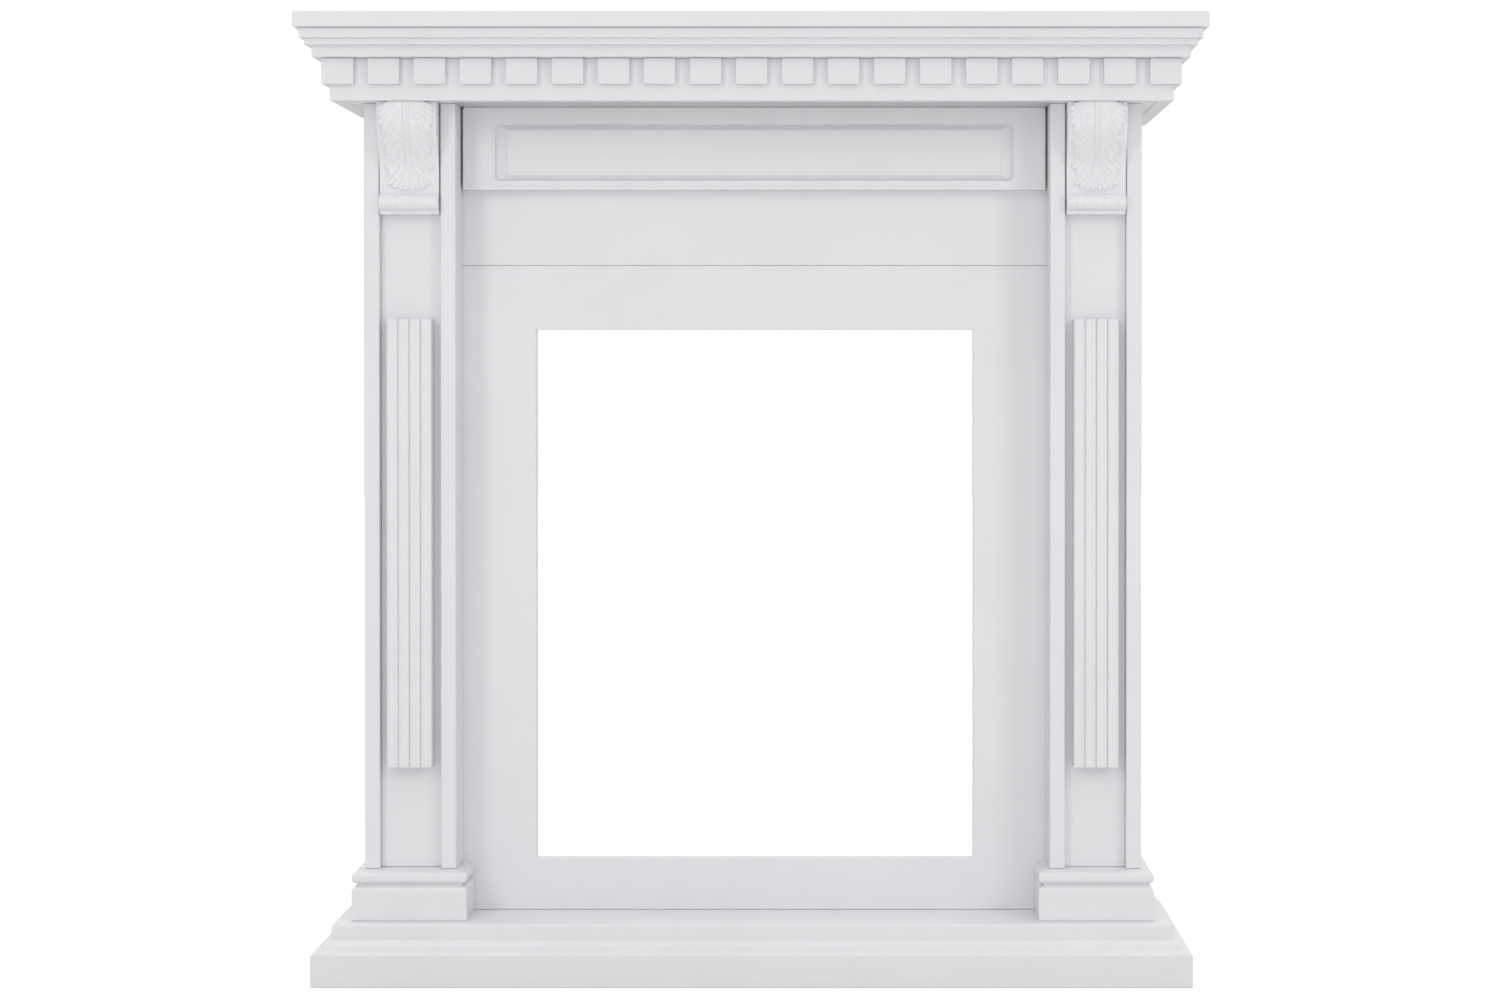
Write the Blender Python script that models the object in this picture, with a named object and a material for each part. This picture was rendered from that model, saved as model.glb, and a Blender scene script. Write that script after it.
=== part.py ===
"""A white painted mantelpiece for a set-in fireplace: moulded base, two pilasters with reeded strips and
acanthus corbels, a facing with the firebox opening, a raised frieze panel and a dentil cornice.

Metres, +Z up. The origin is on the floor at the middle of the piece, and the front looks along -Y.
Mouldings are described by how far they stand out from the pilasters' outer faces, at the front and at
both sides alike, and by their height above the floor.
"""

import math

import bmesh
import bpy
import numpy as np

# Touching pieces keep this gap
GAP = 0.0003

# Pilasters, which everything else is set out from
PILASTER_OUTER_WIDTH = 0.866
PILASTER_WIDTH = 0.102
SIDE_BOARD = 0.017
FIELD_RECESS = 0.012
FIELD_BOARD = 0.016
PILASTER_DEPTH = 0.060
BOARD_EDGE = 0.0008

# Depth from the shelf's front edge to the wall
DEPTH = 0.350

# Base: skirting with a moulded top, and the board on it
SKIRTING_OUT = 0.052
SKIRTING_HEIGHT = 0.0357
SKIRTING_THICKNESS = 0.022
LOWER_LEDGE = 0.0012
NOSE_ACROSS = 0.0054
NOSE_HEIGHT = 0.0037
MIDDLE_LEDGE = 0.0014
BEAD_ACROSS = 0.0024
BEAD_HEIGHT = 0.0018
UPPER_LEDGE = 0.0008
OVOLO_ACROSS = 0.0082
OVOLO_HEIGHT = 0.0084
BASE_TOP_OUT = 0.032
BASE_TOP_THICKNESS = 0.017
BASE_TOP_ROUNDING = 0.003

# Plinth under each pilaster
PLINTH_OUT = 0.013
PLINTH_HEIGHT = 0.0564
PLINTH_FACE_HEIGHT = 0.0323
PLINTH_SHOULDER = 0.0056
PLINTH_GROOVE_DEPTH = 0.0055
PLINTH_GROOVE_HEIGHT = 0.0032
# The torus is flat in the middle and round below and above: across, and as shares of its height
TORUS_UPPER_ACROSS = 0.0030
TORUS_LOWER_SHARE = 0.38
TORUS_UPPER_SHARE = 0.34
PLINTH_SLOPE_RISE = 0.0033

# Height of the pilasters, from the plinth to the cornice
PILASTER_HEIGHT = 0.8525

# Reeded strip
STRIP_WIDTH = 0.050
STRIP_LENGTH = 0.500
STRIP_THICKNESS = 0.020
STRIP_ABOVE_PLINTH = 0.113
REEDS = 4
REED_DEPTH = 0.0030
REED_FULLNESS = 3.5

# Corbel
CORBEL_WIDTH = 0.066
CORBEL_HEIGHT = 0.1232
CORBEL_TOP_OUT = 0.027
CORBEL_NECK_OUT = 0.0032
CORBEL_SWEEP_START = 0.020
CORBEL_SWEEP_END = 0.076
CORBEL_SCROLL_OUT = 0.0120
CORBEL_SCROLL_RADIUS = 0.0090
CORBEL_SCROLL_DROP = 0.1100
CORBEL_CORNER_ACROSS = 0.013
CORBEL_CORNER_DROP = 0.0064
CORBEL_CORNER_STEP = 0.0035
CORBEL_BORDER = 0.0035
LEAF_RELIEF = 0.0031
LEAF_PLATE = 0.40
# The leaf's lobes on each side, from the top: where they root on the midrib and how long they are at both
# ends of their spread, as shares of the corbel's height; the spread from straight down; and the fingers
LEAF_LOBES = (
    (-0.04, (0.46, 0.27), (0.34, 1.25), 5),
    (0.22, (0.38, 0.28), (0.32, 1.08), 3),
    (0.42, (0.33, 0.28), (0.30, 1.05), 3),
    (0.53, (0.275, 0.30), (0.00, 0.85), 4),
)
# The plate that the lobes rise from: its half width, where it starts to narrow, and how far on its tip is
PLATE_HALF_WIDTH = 0.215
PLATE_SHOULDER = 0.50
PLATE_TIP = 0.30
MIDRIB_HALF = 0.0042
MIDRIB_FLARE = 0.0062
CORBEL_COLUMNS = 32
CORBEL_ROWS = 54

# Facing behind the pilasters, with the firebox opening
FACING_THICKNESS = 0.016
FACING_JOINT_HEIGHT = 0.7975
OPENING_WIDTH = 0.495
OPENING_HEIGHT = 0.600
OPENING_SILL_HEIGHT = 0.125

# Frieze panel with its routed raised field
FRIEZE_THICKNESS = 0.016
FRIEZE_HEIGHT = 0.0930
FRIEZE_SIDE_GAP = 0.0025
FRIEZE_CORNER = 0.002
FIELD_WIDTH = 0.556
FIELD_HEIGHT = 0.051
FIELD_ABOVE_EDGE = 0.0165
GROOVE_DEPTH = 0.005
GROOVE_CORNER = 0.005
GROOVE_ACROSS = 0.0062
GROOVE_ENDS = 0.0145

# Cornice
SOFFIT_THICKNESS = 0.016
FASCIA_OUT = 0.032
FASCIA_HEIGHT = 0.0465
FASCIA_THICKNESS = 0.017
DENTIL_OUT = 0.040
DENTIL_WIDTH = 0.035
DENTIL_HEIGHT = 0.029
DENTIL_ROUNDING = 0.0010
DENTILS_IN_FRONT = 19
FILLET_OUTS = (0.049, 0.056, 0.061)
FILLET_HEIGHTS = (0.0125, 0.0072, 0.0113)
FILLET_EDGE = 0.0008
SHELF_OUT = 0.067
SHELF_THICKNESS = 0.017
SHELF_EDGE = 0.0012

# Colours of the paint
BOARD_WHITE = (0.80, 0.80, 0.81)
CARVING_WHITE = (0.79, 0.78, 0.80)

# Levels above the floor
BASE_TOP_BOTTOM = SKIRTING_HEIGHT + NOSE_HEIGHT + BEAD_HEIGHT + OVOLO_HEIGHT
PLINTH_BOTTOM = BASE_TOP_BOTTOM + BASE_TOP_THICKNESS
PILASTER_BOTTOM = PLINTH_BOTTOM + PLINTH_HEIGHT
CORNICE_BOTTOM = PILASTER_BOTTOM + PILASTER_HEIGHT
FILLETS_BOTTOM = CORNICE_BOTTOM + FASCIA_HEIGHT
SHELF_BOTTOM = FILLETS_BOTTOM + sum(FILLET_HEIGHTS)

# Planes across and along the depth
OUTER = PILASTER_OUTER_WIDTH / 2
INNER = OUTER - PILASTER_WIDTH
WALL = DEPTH / 2
FRONT = -DEPTH / 2 + SHELF_OUT
FIELD_FRONT = FRONT + FIELD_RECESS
FACING_FRONT = FRONT + PILASTER_DEPTH
FACING_HALF_WIDTH = OUTER - SIDE_BOARD - GAP
SIDES = {"left": -1, "right": 1}


def clear_scene():
    for thing in list(bpy.data.objects):
        bpy.data.objects.remove(thing, do_unlink=True)


def paint(name, colour, roughness):
    material = bpy.data.materials.new(name)
    material.use_nodes = True
    shader = material.node_tree.nodes["Principled BSDF"]
    shader.inputs["Base Color"].default_value = (*colour, 1.0)
    shader.inputs["Roughness"].default_value = roughness
    shader.inputs["Metallic"].default_value = 0.0
    material.diffuse_color = (*colour, 1.0)
    return material


def piece_from(name, mesh_data, material):
    """Turns a bmesh into a named object with outward normals and its own material."""
    bmesh.ops.recalc_face_normals(mesh_data, faces=mesh_data.faces)
    mesh = bpy.data.meshes.new(name)
    mesh_data.to_mesh(mesh)
    mesh_data.free()
    mesh.materials.append(material)
    piece = bpy.data.objects.new(name, mesh)
    bpy.context.scene.collection.objects.link(piece)
    return piece


def bevelled(piece, width, segments=1):
    modifier = piece.modifiers.new("edges", "BEVEL")
    modifier.width = width
    modifier.segments = segments
    modifier.limit_method = "ANGLE"
    modifier.angle_limit = math.radians(40)
    return piece


def box(low, high):
    mesh_data = bmesh.new()
    bmesh.ops.create_cube(mesh_data, size=1.0)
    for vertex in mesh_data.verts:
        for axis in range(3):
            vertex.co[axis] = high[axis] if vertex.co[axis] > 0 else low[axis]
    return mesh_data


def board(name, low, high, material, edge=BOARD_EDGE):
    """A flat board between two corners, its edges broken by a small bevel."""
    return bevelled(piece_from(name, box(low, high), material), edge)


def loft(loops):
    """A closed body through loops of points that correspond, with its first and last loop filled."""
    mesh_data = bmesh.new()
    rings = [[mesh_data.verts.new(point) for point in loop] for loop in loops]
    count = len(rings[0])
    for ring, following in zip(rings, rings[1:]):
        for i in range(count):
            j = (i + 1) % count
            mesh_data.faces.new((ring[i], ring[j], following[j], following[i]))
    mesh_data.faces.new(rings[0])
    mesh_data.faces.new(rings[-1])
    return mesh_data


def arc(centre, radii, start, end, steps):
    """Points on an elliptical arc between two angles, in degrees, with both ends."""
    angles = np.radians(np.linspace(start, end, steps + 1))
    return [(centre[0] + radii[0] * math.cos(a), centre[1] + radii[1] * math.sin(a)) for a in angles]


def run_with_mitres(name, profile, material):
    """A moulding along the front and both sides: three runs of one profile, mitred at the front corners.
    The profile holds (out from the pilasters' faces, height) points."""
    trim = GAP / 2
    front = [
        [(side * (OUTER + out - trim), FRONT - out, z) for out, z in profile] for side in (-1, 1)
    ]
    piece_from(f"{name}_front", loft(front), material)
    for side, sign in SIDES.items():
        mitre = [(sign * (OUTER + out), FRONT - out + trim, z) for out, z in profile]
        at_wall = [(sign * (OUTER + out), WALL, z) for out, z in profile]
        piece_from(f"{name}_{side}", loft([mitre, at_wall]), material)


def skirting(material):
    """The board that stands on the floor. Its top is milled in steps that go in to the base board's edge:
    a rounded nose, a small bead and a quarter-round, each set back from the one below by a ledge."""
    inner = SKIRTING_OUT - SKIRTING_THICKNESS
    out, z = SKIRTING_OUT, SKIRTING_HEIGHT
    profile = [(inner, 0.0), (out, 0.0), (out, z - BOARD_EDGE), (out - BOARD_EDGE, z)]
    for ledge, across, height, steps in (
        (LOWER_LEDGE, NOSE_ACROSS, NOSE_HEIGHT, 3),
        (MIDDLE_LEDGE, BEAD_ACROSS, BEAD_HEIGHT, 2),
        (UPPER_LEDGE, OVOLO_ACROSS, OVOLO_HEIGHT - GAP, 5),
    ):
        out -= ledge
        profile += arc((out - across, z), (across, height), 0, 90, steps)
        out -= across
        z += height
    profile.append((inner, z))
    run_with_mitres("base_skirting", profile, material)


def base_top(material):
    """The base board. Its two upper front and side edges are rounded."""
    side = OUTER + BASE_TOP_OUT
    low = (-side, FRONT - BASE_TOP_OUT, BASE_TOP_BOTTOM)
    high = (side, WALL, PLINTH_BOTTOM - GAP)
    mesh_data = box(low, high)
    upper = [
        edge for edge in mesh_data.edges
        if all(abs(v.co.z - high[2]) < GAP for v in edge.verts)
        and not all(abs(v.co.y - WALL) < GAP for v in edge.verts)
    ]
    bmesh.ops.bevel(mesh_data, geom=upper, offset=BASE_TOP_ROUNDING, segments=3, profile=0.5, affect="EDGES")
    piece_from("base_top_board", mesh_data, material)


def plinth_profile():
    """(out, height) points from the plinth's foot to its top: flat face, rounded shoulder, groove, a torus that
    is flat in the middle, and a slope up to the pilaster."""
    groove_out = PLINTH_OUT - PLINTH_GROOVE_DEPTH
    shoulder_top = PLINTH_FACE_HEIGHT + PLINTH_SHOULDER
    torus_bottom = shoulder_top + PLINTH_GROOVE_HEIGHT
    torus_top = PLINTH_HEIGHT - GAP - PLINTH_SLOPE_RISE
    lower_height = TORUS_LOWER_SHARE * (torus_top - torus_bottom)
    upper_height = TORUS_UPPER_SHARE * (torus_top - torus_bottom)
    shoulder = arc((groove_out, PLINTH_FACE_HEIGHT), (PLINTH_GROOVE_DEPTH, PLINTH_SHOULDER), 0, 80, 4)
    lower = arc((groove_out, torus_bottom + lower_height), (PLINTH_GROOVE_DEPTH, lower_height), -80, 0, 4)
    upper = arc((PLINTH_OUT - TORUS_UPPER_ACROSS, torus_top - upper_height),
                (TORUS_UPPER_ACROSS, upper_height), 0, 90, 4)
    return [
        (PLINTH_OUT, 0.0),
        *shoulder,
        (groove_out, shoulder_top),
        (groove_out, torus_bottom),
        *lower,
        *upper,
        (0.0, PLINTH_HEIGHT - GAP),
    ]


def plinths(material):
    """A moulded block under each pilaster, and the same moulding carried back to the wall at the side."""
    for side, sign in SIDES.items():
        block, back = [], []
        for out, rise in plinth_profile():
            z = PLINTH_BOTTOM + rise
            x_out, x_in = sign * (OUTER + out), sign * (INNER - out)
            x_back = sign * (OUTER - SIDE_BOARD)
            y_front, y_back = FRONT - out, FACING_FRONT - GAP
            block.append([(x_in, y_front, z), (x_out, y_front, z), (x_out, y_back, z), (x_in, y_back, z)])
            back.append([(x_back, FACING_FRONT, z), (x_out, FACING_FRONT, z), (x_out, WALL, z),
                         (x_back, WALL, z)])
        piece_from(f"plinth_{side}", loft(block), material)
        piece_from(f"plinth_return_{side}", loft(back), material)


def pilasters(material):
    """Each pilaster is a box: two side boards, whose front edges are the stiles, and a recessed field."""
    bottom, top = PILASTER_BOTTOM, CORNICE_BOTTOM - GAP
    for side, sign in SIDES.items():
        def across(near, far):
            return sorted((sign * near, sign * far))

        outer = across(OUTER - SIDE_BOARD, OUTER)
        inner = across(INNER, INNER + SIDE_BOARD)
        field = across(INNER + SIDE_BOARD + GAP, OUTER - SIDE_BOARD - GAP)
        board(f"pilaster_{side}_outer_board", (outer[0], FRONT, bottom), (outer[1], WALL, top), material)
        board(f"pilaster_{side}_inner_board", (inner[0], FRONT, bottom),
              (inner[1], FACING_FRONT - GAP, top), material)
        board(f"pilaster_{side}_field_board", (field[0], FIELD_FRONT, bottom),
              (field[1], FIELD_FRONT + FIELD_BOARD, top), material)


def reeded_strips(material):
    """A strip of equal flat reeds side by side, each a half superellipse, on each pilaster's field."""
    bottom = PILASTER_BOTTOM + STRIP_ABOVE_PLINTH
    back = FIELD_FRONT - GAP
    pitch = STRIP_WIDTH / REEDS
    power = 2 / REED_FULLNESS
    for side, sign in SIDES.items():
        middle = sign * (OUTER - PILASTER_WIDTH / 2)
        crests = []
        for reed in range(REEDS):
            centre = middle - STRIP_WIDTH / 2 + (reed + 0.5) * pitch
            crest = [(centre + math.copysign(abs(x) ** power, x) * pitch / 2,
                      back - STRIP_THICKNESS + REED_DEPTH * (1 - max(y, 0.0) ** power))
                     for x, y in arc((0, 0), (1, 1), 180, 0, 8)]
            crests += crest[0 if reed == 0 else 1:]
        outline = [(middle - STRIP_WIDTH / 2, back), *crests, (middle + STRIP_WIDTH / 2, back)]
        loops = [[(x, y, z) for x, y in outline] for z in (bottom, bottom + STRIP_LENGTH)]
        piece_from(f"reeded_strip_{side}", loft(loops), material)


def smooth(low, high, value):
    """0 below low, 1 above high, and an even S-curve between them."""
    t = np.clip((value - low) / (high - low), 0.0, 1.0)
    return t * t * (3 - 2 * t)


def corbel_sweep(drop):
    """How far the plain corbel stands out from the stiles, at each distance below its top: a deep head that
    sweeps back to a thin neck, a round scroll, and a thin foot."""
    head = 1 - smooth(CORBEL_SWEEP_START, CORBEL_SWEEP_END, drop)
    body = CORBEL_NECK_OUT + (CORBEL_TOP_OUT - CORBEL_NECK_OUT) * head
    lift = np.sqrt(np.clip(1 - ((drop - CORBEL_SCROLL_DROP) / CORBEL_SCROLL_RADIUS) ** 2, 0, 1))
    return np.maximum(body, CORBEL_NECK_OUT + (CORBEL_SCROLL_OUT - CORBEL_NECK_OUT) * lift)


def lobe(side, down, root, reach, spread, fingers):
    """Relief from 0 to 1 of one leaf lobe: its fingers fan out of the root between two angles from straight
    down, rise towards their tips, and cut the outline into as many scallops."""
    angle = np.arctan2(side, down - root)
    share = (angle - spread[0]) / (spread[1] - spread[0])
    within = np.clip(share, 0, 1)
    ridge = np.abs(np.sin(math.pi * fingers * within))
    length = (reach[0] + (reach[1] - reach[0]) * within) * (0.88 + 0.12 * np.sqrt(ridge))
    far = np.hypot(side, down - root) / length
    inside = smooth(0.0, 0.08, share) * (1 - smooth(0.94, 1.0, share)) * (1 - smooth(0.90, 1.0, far))
    furrow = 0.40 * (1 - ridge ** 0.7) * smooth(0.05, 0.75, far)
    return inside * (0.42 + 0.58 * far ** 1.5 - furrow)


def leaf(across, drop):
    """Relief from 0 to 1 of the acanthus leaf: a plate with a round tip, pairs of lobes, and a double midrib
    that widens to the tip."""
    side = np.abs(across) / CORBEL_HEIGHT
    down = drop / CORBEL_HEIGHT
    below = np.maximum(down - PLATE_SHOULDER, 0)
    outline = ((side / PLATE_HALF_WIDTH) ** 3 + (below / PLATE_TIP) ** 3) ** (1 / 3)
    plate = LEAF_PLATE * (1 - smooth(0.86, 1.0, outline))
    lobes = np.max([lobe(side, down, *shape) for shape in LEAF_LOBES], axis=0)
    half = MIDRIB_HALF + MIDRIB_FLARE * smooth(0.50, 0.74, down)
    from_middle = np.minimum(np.abs(across) / half, 1)
    rib = (1 - smooth(0.60, 1.0, from_middle)) * (0.60 + 0.26 * np.sin(math.pi * from_middle))
    return np.max([plate, lobes, rib * (1 - smooth(0.62, 0.74, down))], axis=0)


def corbels(material):
    """One carved solid each. The face is a grid over the corbel's front, laid on its sweep and raised by
    the leaf. A plain border stays at both sides, and the two top corners are set back. The back lies on the
    pilaster's recessed field."""
    top = CORNICE_BOTTOM - GAP
    back = FIELD_FRONT - GAP
    wide, drop = np.meshgrid(np.linspace(-CORBEL_WIDTH / 2, CORBEL_WIDTH / 2, CORBEL_COLUMNS + 1),
                             np.linspace(0.0, CORBEL_HEIGHT, CORBEL_ROWS + 1))
    from_edge = CORBEL_WIDTH / 2 - np.abs(wide)
    edge = np.clip(1 - from_edge / CORBEL_CORNER_ACROSS, 0, 1)
    corner = (edge > 0) & (drop < CORBEL_CORNER_DROP * edge ** 1.3)
    carving = LEAF_RELIEF * smooth(0.0, CORBEL_BORDER, from_edge) * leaf(wide, drop)
    out = corbel_sweep(drop) + np.where(corner, -CORBEL_CORNER_STEP, carving)
    for side, sign in SIDES.items():
        middle = sign * (OUTER - PILASTER_WIDTH / 2)
        mesh_data = bmesh.new()
        grid = [
            [mesh_data.verts.new((middle + wide[i, j], FRONT - out[i, j], top - drop[i, j]))
             for j in range(CORBEL_COLUMNS + 1)]
            for i in range(CORBEL_ROWS + 1)
        ]
        for i in range(CORBEL_ROWS):
            for j in range(CORBEL_COLUMNS):
                mesh_data.faces.new((grid[i][j], grid[i][j + 1], grid[i + 1][j + 1], grid[i + 1][j]))
        rim = (grid[0] + [row[-1] for row in grid[1:]] + grid[-1][-2::-1]
               + [row[0] for row in grid[-2:0:-1]])
        behind = [mesh_data.verts.new((vertex.co.x, back, vertex.co.z)) for vertex in rim]
        for i, vertex in enumerate(rim):
            j = (i + 1) % len(rim)
            mesh_data.faces.new((vertex, rim[j], behind[j], behind[i]))
        mesh_data.faces.new(behind)
        piece_from(f"corbel_{side}", mesh_data, material)


def facing(material):
    """Two boards behind the pilasters. The lower one has the firebox opening."""
    front, back = FACING_FRONT, FACING_FRONT + FACING_THICKNESS
    half, reach = FACING_HALF_WIDTH, OPENING_WIDTH / 2
    bottom, top = PLINTH_BOTTOM, FACING_JOINT_HEIGHT - GAP
    sill, head = OPENING_SILL_HEIGHT, OPENING_SILL_HEIGHT + OPENING_HEIGHT
    outer = [(-half, bottom), (half, bottom), (half, top), (-half, top)]
    inner = [(-reach, sill), (reach, sill), (reach, head), (-reach, head)]
    mesh_data = bmesh.new()
    rings = [[mesh_data.verts.new((x, y, z)) for x, z in corners]
             for corners, y in ((outer, front), (inner, front), (inner, back), (outer, back))]
    for ring, following in zip(rings, rings[1:] + rings[:1]):
        for i in range(4):
            j = (i + 1) % 4
            mesh_data.faces.new((ring[i], ring[j], following[j], following[i]))
    bevelled(piece_from("facing_panel_lower", mesh_data, material), BOARD_EDGE)
    board("facing_panel_upper", (-half, front, FACING_JOINT_HEIGHT),
          (half, back, CORNICE_BOTTOM - GAP), material)


def rounded_rectangle(half_width, half_height, centre_z, radius, y, steps=4):
    """Points round a rectangle with arc corners, upright at one depth, all with the same count."""
    points = []
    for start, (sx, sz) in zip((0, 90, 180, 270), ((1, 1), (-1, 1), (-1, -1), (1, -1))):
        centre = (sx * (half_width - radius), centre_z + sz * (half_height - radius))
        points += [(x, y, z) for x, z in arc(centre, (radius, radius), start, start + 90, steps)]
    return points


def frieze(material):
    """A panel whose raised field is cut free by a groove. From the border inwards the groove is a steep wall
    and a floor that rises all the way to the field's edge. It is wider at the two ends."""
    back = FACING_FRONT - GAP
    front = back - FRIEZE_THICKNESS
    half = INNER - FRIEZE_SIDE_GAP
    top = CORNICE_BOTTOM - GAP
    middle = top - FRIEZE_HEIGHT / 2
    field_middle = top - FRIEZE_HEIGHT + FIELD_ABOVE_EDGE + FIELD_HEIGHT / 2
    steps = ((1.0, 0.0), (0.97, 0.71), (0.90, 1.0), (0.04, 0.15), (0.0, 0.0))
    loops = [
        rounded_rectangle(half, FRIEZE_HEIGHT / 2, middle, FRIEZE_CORNER, back),
        rounded_rectangle(half, FRIEZE_HEIGHT / 2, middle, FRIEZE_CORNER, front + BOARD_EDGE),
        rounded_rectangle(half - BOARD_EDGE, FRIEZE_HEIGHT / 2 - BOARD_EDGE, middle, FRIEZE_CORNER, front),
    ]
    for share, depth in steps:
        radius = BOARD_EDGE + (GROOVE_CORNER - BOARD_EDGE) * share
        loops.append(rounded_rectangle(FIELD_WIDTH / 2 + share * GROOVE_ENDS,
                                       FIELD_HEIGHT / 2 + share * GROOVE_ACROSS,
                                       field_middle, radius, front + depth * GROOVE_DEPTH))
    piece_from("frieze_panel", loft(loops), material)


def soffit(material):
    """The board that closes the cornice from below, inside the fascia, and lies on both pilasters."""
    reach = FASCIA_OUT - FASCIA_THICKNESS - GAP
    board("soffit_board", (-OUTER - reach, FRONT - reach, CORNICE_BOTTOM),
          (OUTER + reach, WALL, CORNICE_BOTTOM + SOFFIT_THICKNESS), material)


def fascia(material):
    inner = FASCIA_OUT - FASCIA_THICKNESS
    bottom, top = CORNICE_BOTTOM, FILLETS_BOTTOM - GAP
    profile = [
        (inner, bottom),
        (FASCIA_OUT - BOARD_EDGE, bottom),
        (FASCIA_OUT, bottom + BOARD_EDGE),
        (FASCIA_OUT, top),
        (inner, top),
    ]
    run_with_mitres("cornice_fascia", profile, material)


def cornice_fillets(material):
    """The stepped moulding on the fascia: square fillets, each standing further out than the one below."""
    inner = FASCIA_OUT - FASCIA_THICKNESS
    z = FILLETS_BOTTOM
    profile = [(inner, z)]
    for out, height in zip(FILLET_OUTS, FILLET_HEIGHTS):
        last = out == FILLET_OUTS[-1]
        upper = z + height - (GAP if last else 0.0)
        profile += [(out - FILLET_EDGE, z), (out, z + FILLET_EDGE), (out, upper - FILLET_EDGE),
                    (out - FILLET_EDGE, upper)]
        z += height
    profile.append((inner, SHELF_BOTTOM - GAP))
    run_with_mitres("cornice_moulding", profile, material)


def dentil(name, outline, is_outer, material):
    """A block over a plan outline, with its corners in order. Its edges that lie on outer faces alone are
    rounded, and those that meet the fascia stay square."""
    top = FILLETS_BOTTOM - GAP
    bottom = FILLETS_BOTTOM - DENTIL_HEIGHT
    mesh_data = loft([[(x, y, z) for x, y in outline] for z in (bottom, top)])
    rounded = [edge for edge in mesh_data.edges if all(is_outer(v.co) for v in edge.verts)]
    bmesh.ops.bevel(mesh_data, geom=rounded, offset=DENTIL_ROUNDING, segments=2, profile=0.5, affect="EDGES")
    piece_from(name, mesh_data, material)


def dentils(material):
    """A row of blocks on the fascia at the front and the sides, at one pitch. The corner blocks wrap round
    the corner. At the sides the row ends where no further whole block fits before the wall."""
    face, front = FRONT - FASCIA_OUT - GAP, FRONT - DENTIL_OUT
    side_face, side = OUTER + FASCIA_OUT + GAP, OUTER + DENTIL_OUT
    first = -side
    pitch = (2 * side - DENTIL_WIDTH) / (DENTILS_IN_FRONT - 1)
    for number in range(1, DENTILS_IN_FRONT - 1):
        x = first + number * pitch
        outline = [(x, face), (x, front), (x + DENTIL_WIDTH, front), (x + DENTIL_WIDTH, face)]
        dentil(f"dentil_front_{number:02d}", outline, lambda co: abs(co.y - front) < GAP, material)
    in_return = int((WALL - front - DENTIL_WIDTH) / pitch)
    for name, sign in SIDES.items():
        corner = [(sign * x, y) for x, y in (
            (side, front), (side, front + DENTIL_WIDTH), (side_face, front + DENTIL_WIDTH),
            (side_face, face), (side - DENTIL_WIDTH, face), (side - DENTIL_WIDTH, front))]
        dentil(f"dentil_corner_{name}", corner,
               lambda co: abs(co.y - front) < GAP or abs(abs(co.x) - side) < GAP, material)
        for number in range(1, in_return + 1):
            y = front + number * pitch
            outline = [(sign * x, y + along) for x, along in (
                (side_face, 0.0), (side, 0.0), (side, DENTIL_WIDTH), (side_face, DENTIL_WIDTH))]
            dentil(f"dentil_{name}_{number}", outline, lambda co: abs(abs(co.x) - side) < GAP, material)


def shelf(material):
    side = OUTER + SHELF_OUT
    board("shelf_board", (-side, FRONT - SHELF_OUT, SHELF_BOTTOM),
          (side, WALL, SHELF_BOTTOM + SHELF_THICKNESS), material, SHELF_EDGE)


def main():
    clear_scene()
    boards = paint("painted_board", BOARD_WHITE, 0.42)
    mouldings = paint("painted_moulding", BOARD_WHITE, 0.38)
    carvings = paint("painted_carving", CARVING_WHITE, 0.30)
    skirting(mouldings)
    base_top(boards)
    plinths(mouldings)
    pilasters(boards)
    reeded_strips(mouldings)
    corbels(carvings)
    facing(boards)
    frieze(boards)
    soffit(boards)
    fascia(boards)
    cornice_fillets(mouldings)
    dentils(mouldings)
    shelf(boards)


main()
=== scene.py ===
"""The painted mantelpiece as it looks: eased boards and mouldings under satin white paint, and carved
corbels with a glossier coat, on a pale studio floor. Metres, in the model's own frame: the front looks
along -Y, and +Z is up."""

import math

import bpy
import numpy as np
from mathutils import Euler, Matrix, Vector


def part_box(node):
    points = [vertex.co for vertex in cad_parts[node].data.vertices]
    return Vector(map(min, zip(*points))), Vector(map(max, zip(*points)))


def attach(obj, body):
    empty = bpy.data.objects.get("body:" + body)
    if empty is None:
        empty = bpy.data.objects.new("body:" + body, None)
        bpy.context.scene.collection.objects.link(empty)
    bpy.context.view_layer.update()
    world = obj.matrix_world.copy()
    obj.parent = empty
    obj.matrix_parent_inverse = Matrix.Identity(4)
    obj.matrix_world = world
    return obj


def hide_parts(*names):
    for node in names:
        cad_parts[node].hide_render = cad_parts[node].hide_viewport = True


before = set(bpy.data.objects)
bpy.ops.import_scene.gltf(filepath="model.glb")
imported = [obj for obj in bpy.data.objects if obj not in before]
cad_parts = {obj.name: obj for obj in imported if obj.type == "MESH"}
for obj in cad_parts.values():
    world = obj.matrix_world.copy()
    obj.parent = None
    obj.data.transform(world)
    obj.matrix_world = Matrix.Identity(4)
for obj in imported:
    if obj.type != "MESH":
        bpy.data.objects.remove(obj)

SIDES = {"left": -1, "right": 1}

# The gap that the model leaves between touching pieces
GAP = 0.0003

# Planes and levels, read from the model. Outer and inner are the pilasters' faces, from the middle.
SHELF_LOW, SHELF_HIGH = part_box("shelf_board")
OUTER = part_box("pilaster_right_outer_board")[1].x
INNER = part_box("pilaster_right_inner_board")[0].x
SIDE_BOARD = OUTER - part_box("pilaster_right_outer_board")[0].x
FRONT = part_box("pilaster_right_outer_board")[0].y
WALL = SHELF_HIGH.y
FACING_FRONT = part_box("facing_panel_lower")[0].y
PLINTH_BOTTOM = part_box("plinth_left")[0].z

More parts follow.
